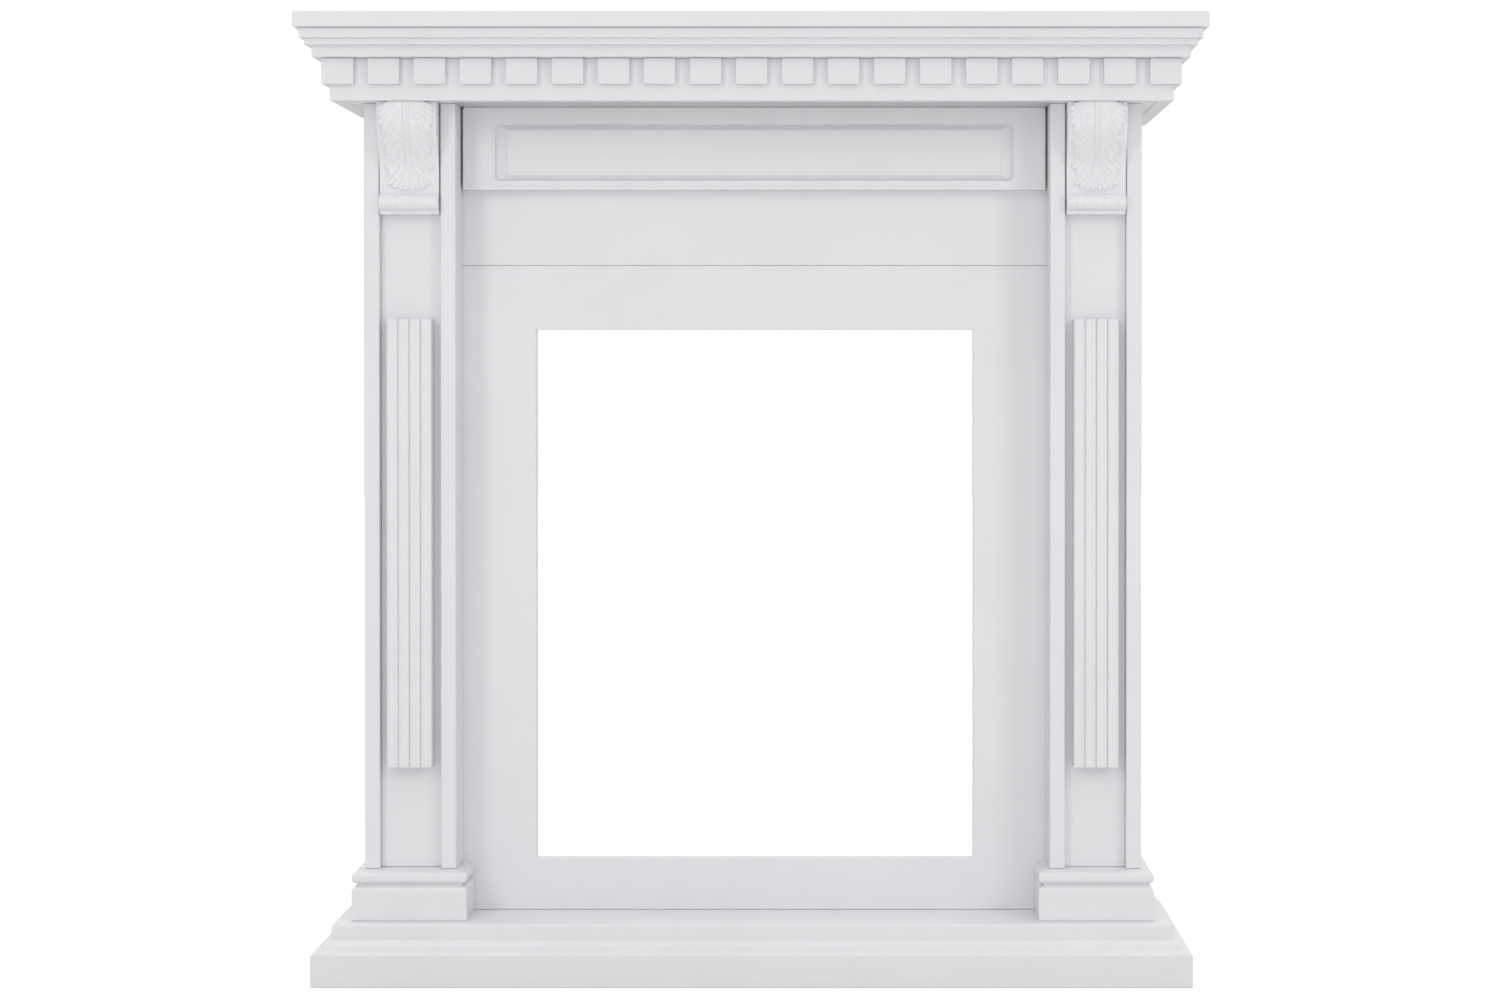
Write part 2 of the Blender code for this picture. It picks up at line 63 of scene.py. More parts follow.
# How far an edge is eased by sanding and paint: the arrises of mouldings and of the boards' fronts, and
# then the boards' ends, plain cut edges, edges seated on another piece, hidden ones, and the least of all
ARRIS = 0.0009
SOFT_ARRIS = 0.0016
BOARD_END = 0.0005
CUT_EDGE = 0.0004
SEATED_EDGE = 0.0003
HIDDEN_EDGE = 0.0002
LEAST_EDGE = 0.0001
# A rounding takes at most this share of the edges that it joins
LONGEST_REACH = 0.45

# Edges that turn by more degrees than these are shaded sharp
SHARP = 38
SHARP_ON_PANEL = 30
SHARP_ON_PROFILE = 50
SHARP_ON_CARVING = 60


# Arrays of points

def eased(corners, softness, steps=4):
    """A closed outline with every corner rounded. Each corner becomes a short curve from one edge to the
    next: the quadratic blend of the point before the corner, the corner, and the point after it."""
    corners = np.asarray(corners, float)
    to_before = np.roll(corners, 1, axis=0) - corners
    to_after = np.roll(corners, -1, axis=0) - corners
    length_before = np.linalg.norm(to_before, axis=1, keepdims=True)
    length_after = np.linalg.norm(to_after, axis=1, keepdims=True)
    reach = np.minimum(np.reshape(softness, (-1, 1)) * np.ones((len(corners), 1)),
                       LONGEST_REACH * np.minimum(length_before, length_after))
    start = (corners + to_before / length_before * reach)[:, None]
    end = (corners + to_after / length_after * reach)[:, None]
    t = np.linspace(0, 1, steps + 1)[None, :, None]
    curve = (1 - t) ** 2 * start + 2 * t * (1 - t) * corners[:, None] + t ** 2 * end
    return curve.reshape(-1, 2)


def inward(outline):
    """The direction that moves each edge of a closed outline inwards by one, from the normals of the two
    edges that meet at each point: their sum over one plus their dot product."""
    following = np.roll(outline, -1, axis=0)
    edge = following - outline
    edge /= np.linalg.norm(edge, axis=1, keepdims=True)
    area = np.sum(outline[:, 0] * following[:, 1] - following[:, 0] * outline[:, 1])
    normal = np.stack([-edge[:, 1], edge[:, 0]], axis=1) * np.sign(area)
    last = np.roll(normal, 1, axis=0)
    return (normal + last) / (1 + np.sum(normal * last, axis=1, keepdims=True))


def easing(softness, steps=4):
    """Rise and inset of a rounded edge along a quarter circle: radius times one minus the cosine and one
    minus the sine of the angle."""
    angle = np.linspace(0, math.pi / 2, steps + 1)
    return softness * (1 - np.cos(angle)), softness * (1 - np.sin(angle))


def quarter(centre, radii, steps=6):
    """Points on a quarter ellipse from straight out to straight up."""
    angle = np.linspace(0, math.pi / 2, steps + 1)
    return np.stack([centre[0] + radii[0] * np.cos(angle), centre[1] + radii[1] * np.sin(angle)], axis=1)


def smooth(low, high, value):
    """0 below low, 1 above high, and an even S-curve between them."""
    t = np.clip((value - low) / (high - low), 0.0, 1.0)
    return t * t * (3 - 2 * t)


# Meshes from arrays

def enclosed(points, faces):
    """The volume that the faces enclose, summed over their fans of triangles: positive if they look out."""
    total = 0.0
    for block in faces:
        corners = points[np.asarray(block)]
        first = corners[:, :1]
        total += np.sum(first * np.cross(corners[:, 1:-1], corners[:, 2:])) / 6
    return total


def mesh_piece(name, points, faces, sharp=SHARP):
    """A mesh object from an array of points and arrays of faces, turned to look outwards and shaded smooth
    up to the sharp angle, with normals weighted by area so that flats stay flat."""
    if enclosed(points, faces) < 0:
        faces = [np.asarray(block)[:, ::-1] for block in faces]
    polygons = [face for block in faces for face in np.asarray(block).tolist()]
    mesh = bpy.data.meshes.new(name)
    mesh.from_pydata(points.tolist(), [], polygons)
    mesh.shade_smooth()
    mesh.set_sharp_from_angle(angle=math.radians(sharp))
    piece = bpy.data.objects.new(name, mesh)
    bpy.context.scene.collection.objects.link(piece)
    weighted = piece.modifiers.new("flat faces stay flat", "WEIGHTED_NORMAL")
    weighted.keep_sharp = True
    return piece


def loft(name, rings, sharp=SHARP):
    """A closed body through rings of points that correspond: an array of station, place on the ring, axis.
    Quads join the rings, and one face closes the first and one the last."""
    stations, around = rings.shape[:2]
    i = np.arange(stations - 1)[:, None] * around
    j = np.arange(around)[None, :]
    k = (j + 1) % around
    quads = np.stack([i + j, i + k, i + around + k, i + around + j], axis=-1).reshape(-1, 4)
    ring = np.arange(around)
    ends = [ring[None, ::-1], ring[None, :] + (stations - 1) * around]
    return mesh_piece(name, rings.reshape(-1, 3), [quads, *ends], sharp)


def box_corners(low, high):
    """The four corners of a box's plan: front left, front right, back right, back left."""
    return [(low.x, low.y), (high.x, low.y), (high.x, high.y), (low.x, high.y)]


# Which corners of a box's plan stay in place along x and y, where the back, left or right side is seated
HELD_AT_BACK = ((0, 0), (0, 0), (0, 1), (0, 1))
HELD_AT_LEFT = ((1, 0), (0, 0), (0, 0), (1, 0))
HELD_AT_RIGHT = ((0, 0), (1, 0), (1, 0), (0, 0))


def prism(name, corners, low, high, plan=ARRIS, lower=ARRIS, upper=ARRIS, held=0):
    """An outline carried upright from one height to another. Each ring near an end has its corners moved
    inwards by what the quarter circle of that edge gives, and then rounded by what is left of the plan's
    rounding. Held marks the corners that stay in place along x or y, where the piece lies on its seat."""
    corners = np.asarray(corners, float)
    plan = np.broadcast_to(plan, len(corners))
    move = inward(corners) * (1 - np.asarray(held, float))
    rise_low, inset_low = easing(lower)
    rise_high, inset_high = easing(upper)
    heights = np.concatenate([low + rise_low, high - rise_high[::-1]])
    insets = np.concatenate([inset_low, inset_high[::-1]])
    rings = []
    for z, inset in zip(heights, insets):
        outline = eased(corners + inset * move, np.maximum(plan - inset, LEAST_EDGE))
        rings.append(np.column_stack([outline, np.full(len(outline), z)]))
    return loft(name, np.array(rings))


def mitred_run(name, profile, corner=ARRIS, steps=4):
    """A closed profile of (out from the pilasters' faces, height) carried from the wall along one side,
    round both front corners and back along the other side. At a corner its path is a quarter circle."""
    out, z = np.asarray(profile).T
    angle = np.linspace(0, math.pi / 2, steps + 1)[:, None]
    bend_x = OUTER + out - corner * (1 - np.cos(angle))
    bend_y = FRONT - out + corner * (1 - np.sin(angle))
    at_wall = [np.full_like(out, WALL)]
    x = np.concatenate([[-OUTER - out], -bend_x, bend_x[::-1], [OUTER + out]])
    y = np.concatenate([at_wall, bend_y, bend_y[::-1], at_wall])
    return loft(name, np.stack([x, y, np.broadcast_to(z, x.shape)], axis=2))


# Paint

# Tones, and each coat's roughness, the width of its stipple and the stipple's depth
BOARD_WHITE = (0.820, 0.811, 0.832)
CARVING_WHITE = (0.840, 0.830, 0.853)
BOARD_COAT = (0.40, 0.0016, 0.00003)
MOULDING_COAT = (0.36, 0.0014, 0.00003)
CARVING_COAT = (0.24, 0.0012, 0.00004)
# The stipple is drawn out fourfold along a moulding's run or up a reed
EVEN = (1.0, 1.0, 1.0)
ALONG_RUN = (0.25, 1.0, 1.0)
ALONG_REED = (1.0, 1.0, 0.25)
STIPPLE_STRENGTH = 0.5
# Clouds in the white and patches in the film, both in waves per metre: how dark the clouds are, and how
# far the roughness goes below and above the coat's own
CLOUDS = 7.0
CLOUD_SHADE = 0.972
FILM_PATCHES = 38.0
FILM_GLOSSIER = 0.05
FILM_DULLER = 0.06
# Painted shade on the soffit between the pilasters, where the cornice shades it: the share of the full
# white left there, and how far the change takes
PAINTED_SHADE_SHARE = 0.68
PAINTED_SHADE_FADE = 0.012


def wired(tree, kind, **inputs):
    """A shader node with its inputs set to values or joined to other nodes' outputs."""
    node = tree.nodes.new(kind)
    for name, value in inputs.items():
        socket = node.inputs[name.replace("_", " ")]
        if isinstance(value, bpy.types.NodeSocket):
            tree.links.new(value, socket)
        else:
            socket.default_value = value
    return node


def ranged(tree, value, low, high, from_low=0.3, from_high=0.7):
    """A value mapped from one range onto another, and level beyond its ends."""
    node = wired(tree, "ShaderNodeMapRange", Value=value, From_Min=from_low, From_Max=from_high,
                 To_Min=low, To_Max=high)
    return node.outputs["Result"]


def satin_paint(name, tone, roughness, stipple, stipple_depth, streak=EVEN):
    """Sprayed satin enamel on fibreboard: a faint cloudiness in the white, a film whose gloss varies over a
    few centimetres, and the fine stipple of the sprayed coat, stretched along the run on milled pieces."""
    material = bpy.data.materials.new(name)
    material.use_nodes = True
    tree = material.node_tree
    shader = tree.nodes["Principled BSDF"]
    place = wired(tree, "ShaderNodeTexCoord").outputs["Object"]
    cloud = wired(tree, "ShaderNodeTexNoise", Vector=place, Scale=CLOUDS, Detail=3.0, Roughness=0.55)
    film = wired(tree, "ShaderNodeTexNoise", Vector=place, Scale=FILM_PATCHES, Detail=4.0, Roughness=0.6)
    stretched = wired(tree, "ShaderNodeMapping", Vector=place, Scale=streak)
    grain = wired(tree, "ShaderNodeTexNoise", Vector=stretched.outputs["Vector"], Scale=1.0 / stipple,
                  Detail=2.0, Roughness=0.5)
    shade = wired(tree, "ShaderNodeMix")
    shade.data_type = "RGBA"
    share, clouded, clear = (socket for socket in shade.inputs if socket.enabled)
    tree.links.new(ranged(tree, cloud.outputs["Fac"], 0.0, 1.0), share)
    clouded.default_value = (*(CLOUD_SHADE * channel for channel in tone), 1.0)
    clear.default_value = (*tone, 1.0)
    colour = next(socket for socket in shade.outputs if socket.enabled)
    tree.links.new(colour, shader.inputs["Base Color"])
    gloss = ranged(tree, film.outputs["Fac"], roughness - FILM_GLOSSIER, roughness + FILM_DULLER)
    tree.links.new(gloss, shader.inputs["Roughness"])
    relief = wired(tree, "ShaderNodeBump", Height=grain.outputs["Fac"], Distance=stipple_depth,
                   Strength=STIPPLE_STRENGTH)
    tree.links.new(relief.outputs["Normal"], shader.inputs["Normal"])
    return material


def soffit_paint_with_painted_shade():
    """Board paint with painted shade: greyer between the pilasters, where the soffit lies in the cornice's
    shade.
    """
    material = satin_paint("satin_paint_with_painted_shade_on_soffit", BOARD_WHITE, *BOARD_COAT)
    tree = material.node_tree
    shader = tree.nodes["Principled BSDF"]
    full = shader.inputs["Base Color"].links[0].from_socket
    place = wired(tree, "ShaderNodeTexCoord").outputs["Object"]
    across = wired(tree, "ShaderNodeSeparateXYZ", Vector=place).outputs["X"]
    from_middle = wired(tree, "ShaderNodeMath", Value=across)
    from_middle.operation = "ABSOLUTE"
    # Painted shade: the white is darkened between the pilasters, where the soffit is in shade
    shade_share = ranged(tree, from_middle.outputs["Value"], PAINTED_SHADE_SHARE, 1.0, INNER, INNER + PAINTED_SHADE_FADE)
    shaded_white = wired(tree, "ShaderNodeVectorMath", Vector=full)
    shaded_white.operation = "SCALE"
    tree.links.new(shade_share, shaded_white.inputs["Scale"])
    tree.links.new(shaded_white.outputs["Vector"], shader.inputs["Base Color"])
    return material


BOARD_PAINT = satin_paint("satin_paint_on_boards", BOARD_WHITE, *BOARD_COAT)
MOULDING_PAINT = satin_paint("satin_paint_on_mouldings", BOARD_WHITE, *MOULDING_COAT, ALONG_RUN)
UPRIGHT_PAINT = satin_paint("satin_paint_on_reeds", BOARD_WHITE, *MOULDING_COAT, ALONG_REED)
CARVING_PAINT = satin_paint("gloss_paint_on_carving", CARVING_WHITE, *CARVING_COAT)


def placed(piece, material, slot, *nodes):
    """Paints a finished piece, sets it on the model and lets it stand for its nodes."""
    piece.data.materials.append(material)
    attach(piece, "root")
    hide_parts(*nodes)


# Base

SKIRTING_OUT = 0.052
SKIRTING_HEIGHT = 0.0357
SKIRTING_THICKNESS = 0.022
SKIRTING_FOOT_EDGE = 0.0006
# Each step of the skirting's milled top: the ledge it is set back by, and its own width and height
SKIRTING_STEPS = ((0.0012, 0.0054, 0.0037), (0.0014, 0.0024, 0.0018), (0.0008, 0.0082, 0.0084))
BASE_TOP_ROUNDING = 0.003


def skirting():
    """The mitred skirting in one coat of paint, its top a nose, a bead and a quarter-round."""
    inner = SKIRTING_OUT - SKIRTING_THICKNESS
    board = eased([(inner, 0.0), (SKIRTING_OUT, 0.0), (SKIRTING_OUT, SKIRTING_HEIGHT),
                   (inner, SKIRTING_HEIGHT)], (HIDDEN_EDGE, SKIRTING_FOOT_EDGE, ARRIS, HIDDEN_EDGE))
    without_last_corner = board[:len(board) * 3 // 4]
    out, z = SKIRTING_OUT, SKIRTING_HEIGHT
    members = []
    for ledge, across, height in SKIRTING_STEPS:
        out -= ledge
        members.append(quarter((out - across, z), (across, height)))
        out -= across
        z += height
    profile = np.concatenate([without_last_corner, *members, [(inner, z)]])
    placed(mitred_run("skirting", profile), MOULDING_PAINT, "painted_moulding",
           "base_skirting_front", "base_skirting_left", "base_skirting_right")


def base_board():
    """The board on the skirting, with a rounded upper edge."""
    low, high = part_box("base_top_board")
    piece = prism("base_board", box_corners(low, high), low.z, high.z,
                  plan=(SOFT_ARRIS, SOFT_ARRIS, SEATED_EDGE, SEATED_EDGE), lower=LEAST_EDGE,
                  upper=BASE_TOP_ROUNDING, held=HELD_AT_BACK)
    placed(piece, BOARD_PAINT, "painted_board", "base_top_board")


# Plinths

PLINTH_OUT = 0.013
PLINTH_FOOT_EDGE = 0.0006
PLINTH_FACE_HEIGHT = 0.0323
PLINTH_SHOULDER = 0.0056
PLINTH_GROOVE_DEPTH = 0.0055
PLINTH_GROOVE_HEIGHT = 0.0032
PLINTH_GROOVE_HOLLOW = 0.0003
# The torus is flat in the middle and round below and above: across, and as shares of its height
TORUS_UPPER_ACROSS = 0.0030
TORUS_LOWER_SHARE = 0.38
TORUS_UPPER_SHARE = 0.34
PLINTH_SLOPE_RISE = 0.0033
PLINTH_BACK_EDGE = 0.0005
PLINTH_CURVE_STEPS = 10


def plinth_profile():
    """(out, height) from the foot up: flat face, shoulder as a quarter ellipse, groove with a hollow floor,
    a torus that is flat in the middle, and a slope up to the pilaster."""
    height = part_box("plinth_left")[1].z - PLINTH_BOTTOM
    groove_out = PLINTH_OUT - PLINTH_GROOVE_DEPTH
    shoulder_top = PLINTH_FACE_HEIGHT + PLINTH_SHOULDER
    torus_bottom = shoulder_top + PLINTH_GROOVE_HEIGHT
    torus_top = height - PLINTH_SLOPE_RISE
    lower_height = TORUS_LOWER_SHARE * (torus_top - torus_bottom)
    upper_height = TORUS_UPPER_SHARE * (torus_top - torus_bottom)
    rise, inset = easing(PLINTH_FOOT_EDGE)
    foot = np.stack([PLINTH_OUT - inset, rise], axis=1)
    shoulder = quarter((groove_out, PLINTH_FACE_HEIGHT), (PLINTH_GROOVE_DEPTH, PLINTH_SHOULDER),
                       PLINTH_CURVE_STEPS)[:-1]
    floor = [(groove_out, shoulder_top),
             (groove_out - PLINTH_GROOVE_HOLLOW, shoulder_top + PLINTH_GROOVE_HEIGHT / 2),
             (groove_out, torus_bottom)]
    turn = np.linspace(0, math.pi / 2, PLINTH_CURVE_STEPS)
    lower = np.stack([groove_out + PLINTH_GROOVE_DEPTH * np.sin(turn),
                      torus_bottom + lower_height * (1 - np.cos(turn))], axis=1)[1:]
    upper = quarter((PLINTH_OUT - TORUS_UPPER_ACROSS, torus_top - upper_height),
                    (TORUS_UPPER_ACROSS, upper_height), PLINTH_CURVE_STEPS)
    return np.concatenate([foot, shoulder, floor, lower, upper, [(0.0, height)]])


def plinths():
    """Each plinth with its return: the plan's outline moved out by the profile at every height."""
    profile = plinth_profile()
    back = FACING_FRONT - GAP
    softness = (PLINTH_BACK_EDGE, ARRIS, ARRIS, SEATED_EDGE, SEATED_EDGE, SEATED_EDGE)
    for side, sign in SIDES.items():
        rings = []
        for out, rise in profile:
            plan = eased([(INNER - out, back), (INNER - out, FRONT - out), (OUTER + out, FRONT - out),
                          (OUTER + out, WALL), (OUTER - SIDE_BOARD, WALL), (OUTER - SIDE_BOARD, back)],
                         softness)
            height = np.full(len(plan), PLINTH_BOTTOM + rise)
            rings.append(np.column_stack([sign * plan[:, 0], plan[:, 1], height]))
        piece = loft(f"plinth_block_{side}", np.array(rings), SHARP_ON_PROFILE)
        placed(piece, MOULDING_PAINT, "painted_moulding", f"plinth_{side}", f"plinth_return_{side}")


# Pilasters

REEDS = 4
REED_DEPTH = 0.0030
REED_FULLNESS = 3.5
REED_END = 0.0016
REED_STEPS = 16


def pilasters():
    """The side and field boards, with eased front arrises."""
    for side in SIDES:
        for part, softness in (("outer", SOFT_ARRIS), ("inner", SOFT_ARRIS), ("field", CUT_EDGE)):
            node = f"pilaster_{side}_{part}_board"
            low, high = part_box(node)
            piece = prism(f"{part}_board_{side}", box_corners(low, high), low.z, high.z,
                          plan=softness, lower=BOARD_END, upper=BOARD_END)
            placed(piece, BOARD_PAINT, "painted_board", node)


def reeded_strips():
    """Equal flat reeds side by side, each a half superellipse across, carried up the strip. At both ends
    the face draws back towards the field along a quarter circle."""
    for side in SIDES:
        low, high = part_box(f"reeded_strip_{side}")
        width, middle = high.x - low.x, (low.x + high.x) / 2
        pitch = width / REEDS
        turn = np.linspace(math.pi, 0, REED_STEPS + 1)
        power = 2 / REED_FULLNESS
        reed = np.stack([pitch / 2 * (1 + np.sign(np.cos(turn)) * np.abs(np.cos(turn)) ** power),
                         -REED_DEPTH * np.sin(turn) ** power], axis=1)
        crests = (np.arange(REEDS)[:, None, None] * (pitch, 0.0) + reed[None, :-1]).reshape(-1, 2)
        face = np.concatenate([crests, [(width, 0.0)]]) + (low.x, low.y + REED_DEPTH)
        outline = np.concatenate([face, [(high.x, high.y), (low.x, high.y)]])
        rise, inset = easing(REED_END)
        heights = np.concatenate([low.z + rise, high.z - rise[::-1]])
        drawn = np.concatenate([inset, inset[::-1]])[:, None]
        x = middle + (outline[:, 0] - middle) * (1 - drawn / width)
        y = outline[:, 1] + drawn * (outline[:, 1] < high.y - GAP)
        z = np.broadcast_to(heights[:, None], x.shape)
        piece = loft(f"reeds_{side}", np.stack([x, y, z], axis=2), SHARP_ON_PROFILE)
        placed(piece, UPRIGHT_PAINT, "painted_moulding", f"reeded_strip_{side}")


# Corbels

CORBEL_TOP_OUT = 0.027
CORBEL_NECK_OUT = 0.0032
CORBEL_SWEEP_START = 0.020
CORBEL_SWEEP_END = 0.076
CORBEL_SCROLL_OUT = 0.0120
CORBEL_SCROLL_RADIUS = 0.0090
CORBEL_SCROLL_DROP = 0.1100
SCROLL_WAVE = 0.00035
SCROLL_WAVES = 9
CORBEL_BORDER = 0.0035
# The two top corners, set back behind an edge that arches down towards the sides
CORBEL_CORNER_ACROSS = 0.013
CORBEL_CORNER_DROP = 0.0064
CORBEL_CORNER_STEP = 0.0035
CORBEL_CORNER_ARCH = 1.3
CORBEL_CORNER_EDGE = 0.0003
CORBEL_COLUMNS = 200
CORBEL_ROWS = 380

LEAF_RELIEF = 0.0031
# The leaf's lobes on each side, from the top: where they root on the midrib and how long they are at both
# ends of their spread, as shares of the corbel's height; the spread from straight down; and the fingers
LEAF_LOBES = (
    (-0.04, (0.46, 0.27), (0.34, 1.25), 5),
    (0.22, (0.38, 0.28), (0.32, 1.08), 3),
    (0.42, (0.33, 0.28), (0.30, 1.05), 3),
    (0.53, (0.275, 0.30), (0.00, 0.85), 4),
)
# Where a lobe rises and falls over its spread
LOBE_RISE = (0.0, 0.08)
LOBE_FALL = (0.94, 1.0)
# A finger's relief at its root, how late it swells to its tip, where the tip rolls over, and how much
# shorter the lobe is between two fingers
FINGER_ROOT = 0.42
FINGER_SWELL = 1.5
FINGER_ROLL = (0.90, 1.0)
FINGER_NOTCH = 0.12
# The furrows between the fingers and the fine veins on them: depth, shape, and where they set in
FURROW_DEPTH = 0.40
FURROW_SHAPE = 0.7
FURROW_ONSET = (0.05, 0.75)
VEIN_DEPTH = 0.06
VEIN_WAVES = 4
VEIN_ONSET = (0.2, 0.7)
# The plate that the lobes rise from: its relief, its half width, where it starts to narrow, how far on its
# tip is, how full its outline is, and where its edge falls away
PLATE_RELIEF = 0.40
PLATE_HALF_WIDTH = 0.215
PLATE_SHOULDER = 0.50
PLATE_TIP = 0.30
PLATE_FULLNESS = 3
PLATE_EDGE = (0.86, 1.0)
# The midrib: half its width and what it gains towards the tip, where it widens and where it ends as shares
# of the height, its relief, the rise of its two ridges, and where its sides fall away
MIDRIB_HALF = 0.0042
MIDRIB_FLARE = 0.0062
MIDRIB_WIDENS = (0.50, 0.74)
MIDRIB_ENDS = (0.62, 0.74)
MIDRIB_RELIEF = 0.60
MIDRIB_RIDGES = 0.26
MIDRIB_SIDES = (0.60, 1.0)


def corbel_sweep(drop):
    """How far the plain corbel stands out from the stiles, at each distance below its top: a deep head that
    sweeps back to a thin neck, a round scroll, and a thin foot."""
    head = 1 - smooth(CORBEL_SWEEP_START, CORBEL_SWEEP_END, drop)
    body = CORBEL_NECK_OUT + (CORBEL_TOP_OUT - CORBEL_NECK_OUT) * head
    return np.maximum(body, CORBEL_NECK_OUT + (CORBEL_SCROLL_OUT - CORBEL_NECK_OUT) * np.sqrt(scroll(drop)))


def scroll(drop):
    """1 on the scroll's middle, falling to 0 at its two edges as the square of its circle."""
    return np.clip(1 - ((drop - CORBEL_SCROLL_DROP) / CORBEL_SCROLL_RADIUS) ** 2, 0, 1)


def lobe(side, down, root, reach, spread, fingers):
    """Relief from 0 to 1 of one leaf lobe. Its fingers fan out of the root between two angles from straight
    down and swell towards their tips, where they roll over. The furrows between them deepen outwards, and a
    fine vein runs up each finger."""
    angle = np.arctan2(side, down - root)
    share = (angle - spread[0]) / (spread[1] - spread[0])
    within = np.clip(share, 0, 1)
    wave = math.pi * fingers * within
    ridge = np.abs(np.sin(wave))
    length = (reach[0] + (reach[1] - reach[0]) * within) * (1 - FINGER_NOTCH * (1 - np.sqrt(ridge)))
    far = np.hypot(side, down - root) / length
    inside = smooth(*LOBE_RISE, share) * (1 - smooth(*LOBE_FALL, share)) * (1 - smooth(*FINGER_ROLL, far))
    swell = FINGER_ROOT + (1 - FINGER_ROOT) * far ** FINGER_SWELL
    furrow = FURROW_DEPTH * (1 - ridge ** FURROW_SHAPE) * smooth(*FURROW_ONSET, far)
    vein = VEIN_DEPTH * np.cos(VEIN_WAVES * wave) * smooth(*VEIN_ONSET, far)
    return inside * (swell - furrow - vein)


def leaf(across, drop, height):
    """Relief from 0 to 1 of the acanthus leaf: a plate, pairs of lobes on it, and a double midrib that
    widens to the tip."""
    side = np.abs(across) / height
    down = drop / height
    below = np.maximum(down - PLATE_SHOULDER, 0)
    outline = ((side / PLATE_HALF_WIDTH) ** PLATE_FULLNESS
               + (below / PLATE_TIP) ** PLATE_FULLNESS) ** (1 / PLATE_FULLNESS)
    plate = PLATE_RELIEF * (1 - smooth(*PLATE_EDGE, outline))
    lobes = np.max([lobe(side, down, *shape) for shape in LEAF_LOBES], axis=0)
    half = MIDRIB_HALF + MIDRIB_FLARE * smooth(*MIDRIB_WIDENS, down)
    from_middle = np.minimum(np.abs(across) / half, 1)
    ridges = MIDRIB_RELIEF + MIDRIB_RIDGES * np.sin(math.pi * from_middle)
    rib = (1 - smooth(*MIDRIB_SIDES, from_middle)) * ridges * (1 - smooth(*MIDRIB_ENDS, down))
    return np.max([plate, lobes, rib], axis=0)


def corbel_relief(across, drop, width, height):
    """What the carving adds to the sweep: the leaf inside a plain border, faint upright waves round the
    scroll, and the two top corners set back behind an arched edge."""
    from_edge = width / 2 - np.abs(across)
    inside = smooth(0.0, CORBEL_BORDER, from_edge)
    near_side = np.clip(1 - from_edge / CORBEL_CORNER_ACROSS, 0, 1)
    below_arch = drop - CORBEL_CORNER_DROP * near_side ** CORBEL_CORNER_ARCH
    set_back = np.where(near_side > 0, 1 - smooth(-CORBEL_CORNER_EDGE, CORBEL_CORNER_EDGE, below_arch), 0.0)
    waves = np.sin(2 * math.pi * SCROLL_WAVES * across / width) * scroll(drop) * inside
    carved = LEAF_RELIEF * inside * leaf(across, drop, height) * (1 - set_back)
    return carved - CORBEL_CORNER_STEP * set_back + SCROLL_WAVE * waves


def corbels():
    """The carved face as a grid over the corbel's front, laid on its sweep and raised by the carving. Its
    two long arrises are rounded. A wall of quads joins its rim to the flat back."""
    for side in SIDES:
        low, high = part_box(f"corbel_{side}")
        width, height, middle = high.x - low.x, high.z - low.z, (low.x + high.x) / 2
        across, drop = np.meshgrid(np.linspace(-width / 2, width / 2, CORBEL_COLUMNS + 1),
                                   np.linspace(0.0, height, CORBEL_ROWS + 1))
        from_edge = width / 2 - np.abs(across)
        arris = ARRIS * (1 - np.sqrt(1 - np.clip(1 - from_edge / ARRIS, 0, 1) ** 2))
        out = corbel_sweep(drop) + corbel_relief(across, drop, width, height) - arris
        face = np.stack([middle + across, FRONT - out, high.z - drop], axis=2).reshape(-1, 3)
        index = np.arange(len(face)).reshape(drop.shape)
        quads = np.stack([index[:-1, :-1], index[:-1, 1:], index[1:, 1:], index[1:, :-1]], axis=-1)
        rim = np.concatenate([index[0, :-1], index[:-1, -1], index[-1, :0:-1], index[:0:-1, 0]])
        behind = face[rim] * (1, 0, 1) + (0, high.y, 0)
        back = len(face) + np.arange(len(rim))
        walls = np.stack([rim, back, np.roll(back, -1), np.roll(rim, -1)], axis=-1)
        piece = mesh_piece(f"acanthus_corbel_{side}", np.concatenate([face, behind]),
                           [quads.reshape(-1, 4), walls, back[None]], SHARP_ON_CARVING)
        placed(piece, CARVING_PAINT, "painted_carving", f"corbel_{side}")


# Frieze

FRIEZE_CORNER = 0.002
FRIEZE_ARRIS = 0.0004
FIELD_WIDTH = 0.556
FIELD_HEIGHT = 0.051
FIELD_ABOVE_EDGE = 0.0165
FIELD_CORNER = 0.0008
GROOVE_DEPTH = 0.005
GROOVE_CORNER = 0.005
GROOVE_ACROSS = 0.0062
GROOVE_ENDS = 0.0145
GROOVE_STEPS = 8
# Shares of the groove's width that its outer wall and the field's small bevel take, and the bevel's depth
GROOVE_WALL = 0.10
GROOVE_BEVEL = 0.04
BEVEL_DEPTH = 0.15


def rounded_ring(half_width, half_height, centre_z, radius, y, steps=6):
    """Points round an upright rectangle whose corners are quarter circles."""
    turn = np.linspace(0, math.pi / 2, steps + 1)
    angles = (np.arange(4)[:, None] * math.pi / 2 + turn).reshape(-1)
    signs = np.repeat([(1, 1), (-1, 1), (-1, -1), (1, -1)], steps + 1, axis=0)
    x = signs[:, 0] * (half_width - radius) + radius * np.cos(angles)
    z = centre_z + signs[:, 1] * (half_height - radius) + radius * np.sin(angles)
    return np.stack([x, np.full_like(x, y), z], axis=1)


